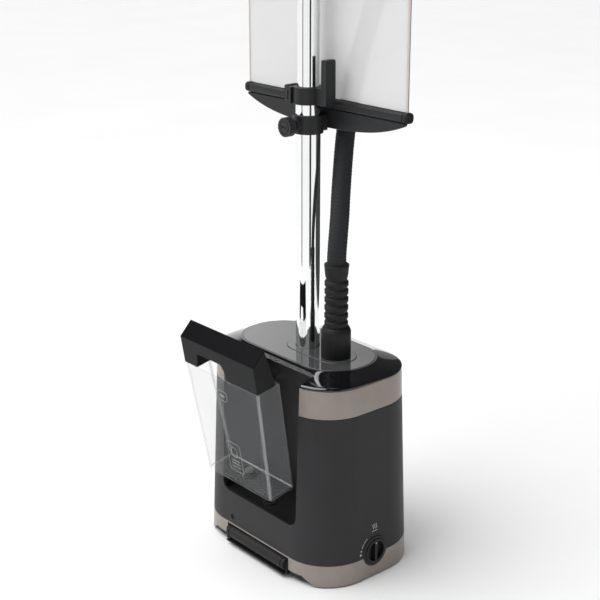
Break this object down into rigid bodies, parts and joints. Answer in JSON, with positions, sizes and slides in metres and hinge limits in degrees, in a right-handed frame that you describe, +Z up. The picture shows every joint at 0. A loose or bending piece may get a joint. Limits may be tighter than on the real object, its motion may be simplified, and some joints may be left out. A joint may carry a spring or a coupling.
{
  "type": "upright garment steamer",
  "caption": "Upright garment steamer: rounded steam base with lift-out water tank, telescopic chrome pole, roll-up press screen, folding hanger, steam hose and handset.",
  "frame": {"origin": "on the floor under the pole's axis", "axes": "+Z up along the pole, -Y towards the water tank's side, +X towards the end with the control knob, +Y towards the side where the garment hangs"},
  "size_m": [0.415, 0.2661, 1.57],
  "materials": {
    "shell": "satin",
    "taupe": "satin metallic",
    "gloss_black": "gloss",
    "lid": "gloss",
    "black_plastic": "matte",
    "grey_plastic": "satin",
    "chrome": "polished",
    "clear_tank": "clear",
    "screen_fabric": "woven",
    "hose_fabric": "braided",
    "rubber": "matte",
    "steel": "brushed",
    "brass": "satin",
    "circuit_board": "satin",
    "silicone": "matte"
  },
  "bodies": {
    "base": {"base_pan": "black_plastic", "lower_band": "taupe", "body_shell": "shell", "upper_band": "taupe", "lid_rim": "gloss_black", "lid_plate": "lid", "pole_insert": "lid", "tank_bay_liner": "black_plastic", "water_inlet_seat": "rubber", "drain_plug": "black_plastic", "mains_cord_gland": "rubber", "boiler": "steel", "thermostat": "brass", "water_pump": "black_plastic", "control_board": "circuit_board", "rotary_switch": "black_plastic", "water_pipe": "silicone", "steam_pipe": "silicone", "pole_socket": "black_plastic", "foot_front_left": "rubber", "foot_front_right": "rubber", "foot_rear_left": "rubber", "foot_rear_right": "rubber", "pole_lower_tube": "chrome", "lock_collar": "grey_plastic", "clamp_collar": "grey_plastic", "screen_rail": "grey_plastic", "rail_end_left": "black_plastic", "rail_end_right": "black_plastic", "screen_wing": "grey_plastic", "screen_fabric": "screen_fabric", "hose_connector": "black_plastic", "hose_boot": "rubber", "steam_hose": "hose_fabric"},
    "tank": {"tank_shell": "clear_tank", "tank_handle": "grey_plastic", "tank_valve": "black_plastic"},
    "plunger": {"valve_plunger": "silicone"},
    "knob": {"control_knob": "black_plastic"},
    "roller": {"transport_roller": "rubber"},
    "thumbscrew": {"thumbscrew": "grey_plastic"},
    "lever": {"lock_lever": "grey_plastic"},
    "head": {"pole_upper_tube": "chrome", "head_bracket": "black_plastic", "screen_cassette": "grey_plastic", "cassette_end_left": "black_plastic", "cassette_end_right": "black_plastic", "handset_hook": "black_plastic", "handset_body": "black_plastic", "steam_plate": "steel", "handset_boot": "rubber", "hanger_hub": "black_plastic"},
    "screen_roller": {"screen_roller": "steel"},
    "trigger": {"steam_trigger": "grey_plastic"},
    "arm_left": {"hanger_arm_left": "black_plastic"},
    "arm_right": {"hanger_arm_right": "black_plastic"},
    "clip_left": {"clip_body_left": "black_plastic"},
    "clip_right": {"clip_body_right": "black_plastic"},
    "jaw_left": {"clip_jaw_left": "black_plastic"},
    "jaw_right": {"clip_jaw_right": "black_plastic"}
  },
  "joints": [
    {"name": "tank_lift_out", "type": "hinge", "parent": "base", "child": "tank", "pos_m": [0, -0.311, -0.056], "axis": [1, 0, 0], "range_deg": [-11.6, 4]},
    {"name": "valve_press", "type": "slide", "parent": "tank", "child": "plunger", "axis": [0, -0.2011, 0.9796], "range_m": [0, 0.003], "stiffness_N_per_m": 300},
    {"name": "knob_turn", "type": "hinge", "parent": "base", "child": "knob", "pos_m": [0.1376, 0, 0.037], "axis": [1, 0, 0], "range_deg": [0, 270]},
    {"name": "roller_spin", "type": "hinge", "parent": "base", "child": "roller", "pos_m": [0, -0.091, 0.0185], "axis": [1, 0, 0], "continuous": true},
    {"name": "thumbscrew_turn", "type": "hinge", "parent": "base", "child": "thumbscrew", "pos_m": [0, -0.03, 0.587], "axis": [0, -1, 0], "range_deg": [-360, 360]},
    {"name": "lever_open", "type": "hinge", "parent": "base", "child": "lever", "pos_m": [-0.019, -0.0173, 0.6235], "axis": [0, 0, 1], "range_deg": [0, 45]},
    {"name": "pole_slide", "type": "slide", "parent": "base", "child": "head", "axis": [0, 0, 1], "range_m": [-0.44, 0], "deforming": ["screen_fabric", "steam_hose"]},
    {"name": "screen_roll", "type": "hinge", "parent": "head", "child": "screen_roller", "pos_m": [0, 0.0363, 1.478], "axis": [1, 0, 0], "range_deg": [-2574, 0]},
    {"name": "arm_left_fold", "type": "hinge", "parent": "head", "child": "arm_left", "pos_m": [-0.009, 0.062, 1.528], "axis": [0, 1, 0], "range_deg": [0, 80]},
    {"name": "arm_right_fold", "type": "hinge", "parent": "head", "child": "arm_right", "pos_m": [0.009, 0.062, 1.528], "axis": [0, -1, 0], "range_deg": [0, 80]},
    {"name": "clip_left_slide", "type": "slide", "parent": "arm_left", "child": "clip_left", "axis": [-0.944, 0, -0.33], "range_m": [-0.01, 0.01]},
    {"name": "clip_right_slide", "type": "slide", "parent": "arm_right", "child": "clip_right", "axis": [0.944, 0, -0.33], "range_m": [-0.01, 0.01]},
    {"name": "clip_left_open", "type": "hinge", "parent": "clip_left", "child": "jaw_left", "pos_m": [-0.14, 0.065, 1.477], "axis": [1, 0, 0], "range_deg": [0, 22], "stiffness_Nm_per_rad": 0.05, "springref_deg": -11.46},
    {"name": "clip_right_open", "type": "hinge", "parent": "clip_right", "child": "jaw_right", "pos_m": [0.14, 0.065, 1.477], "axis": [1, 0, 0], "range_deg": [0, 22], "stiffness_Nm_per_rad": 0.05, "springref_deg": -11.46},
    {"name": "trigger_press", "type": "slide", "parent": "head", "child": "trigger", "axis": [0, 1, 0], "range_m": [0, 0.003], "stiffness_N_per_m": 800}
  ],
  "couplings": [
    {"joint": "screen_roll", "follows": "pole_slide", "rad_per_m": 102.04}
  ]
}
